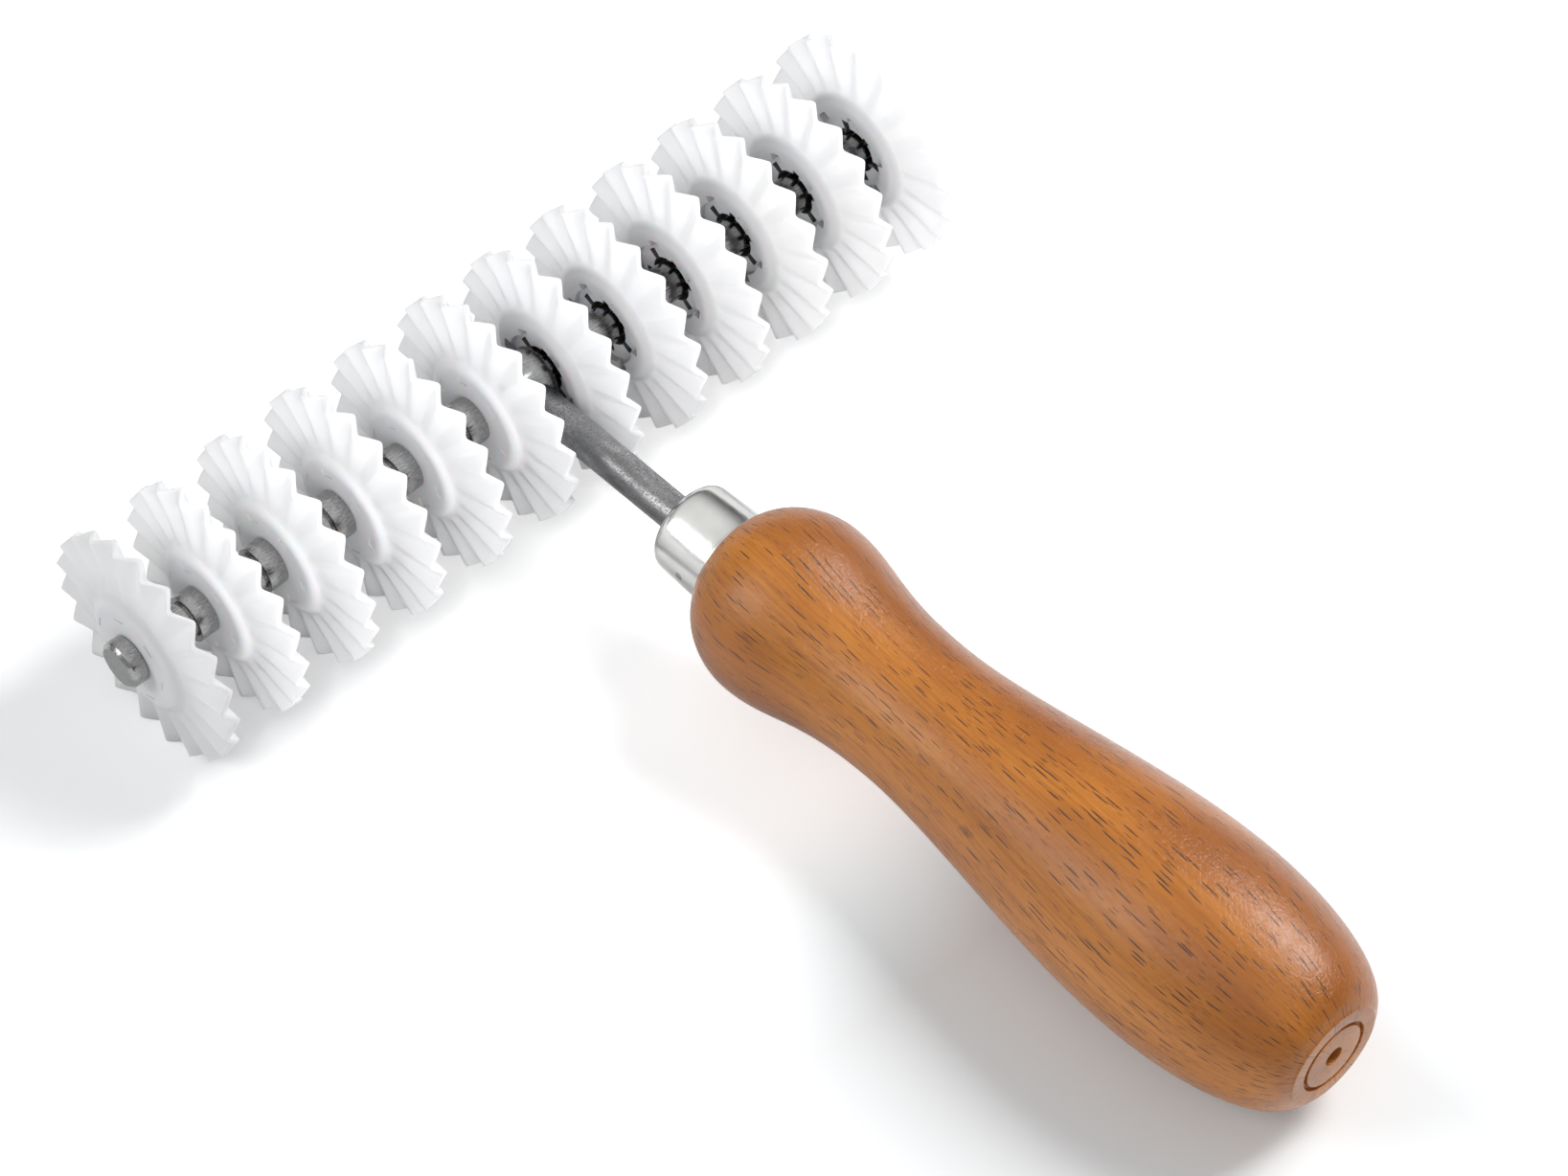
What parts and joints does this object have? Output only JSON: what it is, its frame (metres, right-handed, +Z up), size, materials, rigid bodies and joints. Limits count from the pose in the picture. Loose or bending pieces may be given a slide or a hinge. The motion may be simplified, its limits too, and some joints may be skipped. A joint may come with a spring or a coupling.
{
  "type": "tracing wheel",
  "caption": "Gang tracing wheel: white pleated toothed wheels turn freely on a steel axle, carried by a steel shank and a turned wooden handle.",
  "frame": {"origin": "on the table under the middle of the tool's box, as it lies on its wheels and on the belly of its handle", "axes": "+Z up, X along the axle, the handle runs towards -Y"},
  "size_m": [0.1602, 0.1926, 0.04],
  "materials": {
    "lacquered_beech": "satin lacquer over steamed beech",
    "nickel_plate": "bright nickel plate",
    "drawn_steel": "drawn bar, slightly pitted",
    "turned_steel": "fine turned",
    "wheel_plastic": "natural white nylon, soft sheen"
  },
  "bodies": {
    "frame": {"handle": "lacquered_beech", "ferrule": "nickel_plate", "ferrule_pin": "turned_steel", "shank": "drawn_steel", "cross_head": "turned_steel", "axle_rod": "turned_steel", "end_cap_left": "turned_steel", "end_cap_right": "turned_steel", "inner_sleeve_left": "turned_steel", "inner_sleeve_right": "turned_steel", "spacer_01": "turned_steel", "spacer_02": "turned_steel", "spacer_03": "turned_steel", "spacer_04": "turned_steel", "spacer_05": "turned_steel", "spacer_06": "turned_steel", "spacer_07": "turned_steel", "spacer_08": "turned_steel", "spacer_09": "turned_steel", "spacer_10": "turned_steel"},
    "wheel_01": {"wheel_01": "wheel_plastic"},
    "wheel_02": {"wheel_02": "wheel_plastic"},
    "wheel_03": {"wheel_03": "wheel_plastic"},
    "wheel_04": {"wheel_04": "wheel_plastic"},
    "wheel_05": {"wheel_05": "wheel_plastic"},
    "wheel_06": {"wheel_06": "wheel_plastic"},
    "wheel_07": {"wheel_07": "wheel_plastic"},
    "wheel_08": {"wheel_08": "wheel_plastic"},
    "wheel_09": {"wheel_09": "wheel_plastic"},
    "wheel_10": {"wheel_10": "wheel_plastic"},
    "wheel_11": {"wheel_11": "wheel_plastic"},
    "wheel_12": {"wheel_12": "wheel_plastic"}
  },
  "joints": [
    {"name": "wheel_01_spin", "type": "hinge", "parent": "frame", "child": "wheel_01", "pos_m": [-0.07425, 0.07626, 0.02], "axis": [1, 0, 0], "continuous": true},
    {"name": "wheel_02_spin", "type": "hinge", "parent": "frame", "child": "wheel_02", "pos_m": [-0.06075, 0.07626, 0.02], "axis": [1, 0, 0], "continuous": true},
    {"name": "wheel_03_spin", "type": "hinge", "parent": "frame", "child": "wheel_03", "pos_m": [-0.04725, 0.07626, 0.02], "axis": [1, 0, 0], "continuous": true},
    {"name": "wheel_04_spin", "type": "hinge", "parent": "frame", "child": "wheel_04", "pos_m": [-0.03375, 0.07626, 0.02], "axis": [1, 0, 0], "continuous": true},
    {"name": "wheel_05_spin", "type": "hinge", "parent": "frame", "child": "wheel_05", "pos_m": [-0.02025, 0.07626, 0.02], "axis": [1, 0, 0], "continuous": true},
    {"name": "wheel_06_spin", "type": "hinge", "parent": "frame", "child": "wheel_06", "pos_m": [-0.00675, 0.07626, 0.02], "axis": [1, 0, 0], "continuous": true},
    {"name": "wheel_07_spin", "type": "hinge", "parent": "frame", "child": "wheel_07", "pos_m": [0.00675, 0.07626, 0.02], "axis": [1, 0, 0], "continuous": true},
    {"name": "wheel_08_spin", "type": "hinge", "parent": "frame", "child": "wheel_08", "pos_m": [0.02025, 0.07626, 0.02], "axis": [1, 0, 0], "continuous": true},
    {"name": "wheel_09_spin", "type": "hinge", "parent": "frame", "child": "wheel_09", "pos_m": [0.03375, 0.07626, 0.02], "axis": [1, 0, 0], "continuous": true},
    {"name": "wheel_10_spin", "type": "hinge", "parent": "frame", "child": "wheel_10", "pos_m": [0.04725, 0.07626, 0.02], "axis": [1, 0, 0], "continuous": true},
    {"name": "wheel_11_spin", "type": "hinge", "parent": "frame", "child": "wheel_11", "pos_m": [0.06075, 0.07626, 0.02], "axis": [1, 0, 0], "continuous": true},
    {"name": "wheel_12_spin", "type": "hinge", "parent": "frame", "child": "wheel_12", "pos_m": [0.07425, 0.07626, 0.02], "axis": [1, 0, 0], "continuous": true}
  ]
}
